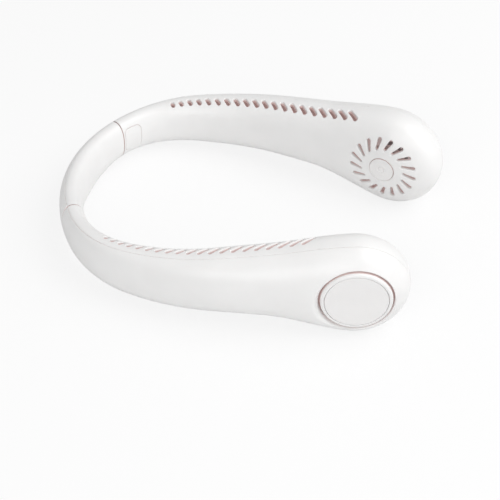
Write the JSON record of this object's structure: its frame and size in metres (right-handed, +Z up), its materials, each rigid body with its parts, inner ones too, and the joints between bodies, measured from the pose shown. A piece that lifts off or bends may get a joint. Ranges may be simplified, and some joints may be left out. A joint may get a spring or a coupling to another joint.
{
  "type": "electric neck fan",
  "caption": "Wearable bladeless neck fan: a curved band behind the neck, two hinged arms with air outlet slots along the top, and a round blower head with an intake cap at each end.",
  "frame": {"origin": "middle of the base of the bounding box, on the surface the fan rests on", "axes": "+X towards the open side of the U, +Y towards the wearer's left arm of the fan, +Z up"},
  "size_m": [0.2316, 0.188, 0.0632],
  "materials": {
    "shell": "satin white, lightly glossy",
    "plate": "satin white",
    "cover": "satin white, slightly shaded",
    "button": "satin white",
    "duct": "moulded, matte",
    "bracket": "moulded, matte",
    "wheel": "moulded, matte",
    "switch": "matte",
    "board": "lacquered",
    "cell": "shrink sleeve over a metal can",
    "wire": "insulated",
    "steel": "bright",
    "bush": "sintered",
    "winding": "enamelled wire",
    "magnet": "dull"
  },
  "bodies": {
    "band": {"band_outer_shell": "shell", "band_inner_shell": "shell", "left_hinge_pin": "steel", "right_hinge_pin": "steel", "band_wires": "wire"},
    "left_arm": {"left_outer_shell": "shell", "left_inner_shell": "shell", "left_hinge_cover": "cover", "left_duct_floor": "duct", "left_scroll": "duct", "left_battery": "cell", "left_leads": "wire", "left_motor_bracket": "bracket", "left_motor_board": "board", "left_bearing_bush": "bush", "left_stator_core": "steel", "left_windings": "winding", "left_intake_cap": "shell", "left_cap_plate": "plate", "left_screws": "steel", "switch_board": "board", "push_switch": "switch"},
    "right_arm": {"right_outer_shell": "shell", "right_inner_shell": "shell", "right_hinge_cover": "cover", "right_duct_floor": "duct", "right_scroll": "duct", "right_battery": "cell", "right_leads": "wire", "right_motor_bracket": "bracket", "right_motor_board": "board", "right_bearing_bush": "bush", "right_stator_core": "steel", "right_windings": "winding", "right_intake_cap": "shell", "right_cap_plate": "plate", "right_screws": "steel", "charging_board": "board", "charging_socket": "steel"},
    "left_fan": {"left_wheel": "wheel", "left_rotor_cup": "steel", "left_magnet_ring": "magnet", "left_motor_shaft": "steel"},
    "right_fan": {"right_wheel": "wheel", "right_rotor_cup": "steel", "right_magnet_ring": "magnet", "right_motor_shaft": "steel"},
    "button": {"power_button": "button"}
  },
  "joints": [
    {"name": "left_hinge", "type": "hinge", "parent": "band", "child": "left_arm", "pos_m": [-0.09954, 0.0446, 0.01868], "axis": [0, 0, 1], "range_deg": [0, 8]},
    {"name": "right_hinge", "type": "hinge", "parent": "band", "child": "right_arm", "pos_m": [-0.09954, -0.0446, 0.01868], "axis": [0, 0, -1], "range_deg": [0, 8]},
    {"name": "left_spin", "type": "hinge", "parent": "left_arm", "child": "left_fan", "pos_m": [0.08362, 0.0611, 0.0323], "axis": [0.2525, 0.9676, 0], "continuous": true},
    {"name": "right_spin", "type": "hinge", "parent": "right_arm", "child": "right_fan", "pos_m": [0.08362, -0.0611, 0.0323], "axis": [0.2525, -0.9676, 0], "continuous": true},
    {"name": "button_press", "type": "slide", "parent": "left_arm", "child": "button", "axis": [0.2525, 0.9676, 0], "range_m": [0, 0.0005], "stiffness_N_per_m": 400}
  ]
}
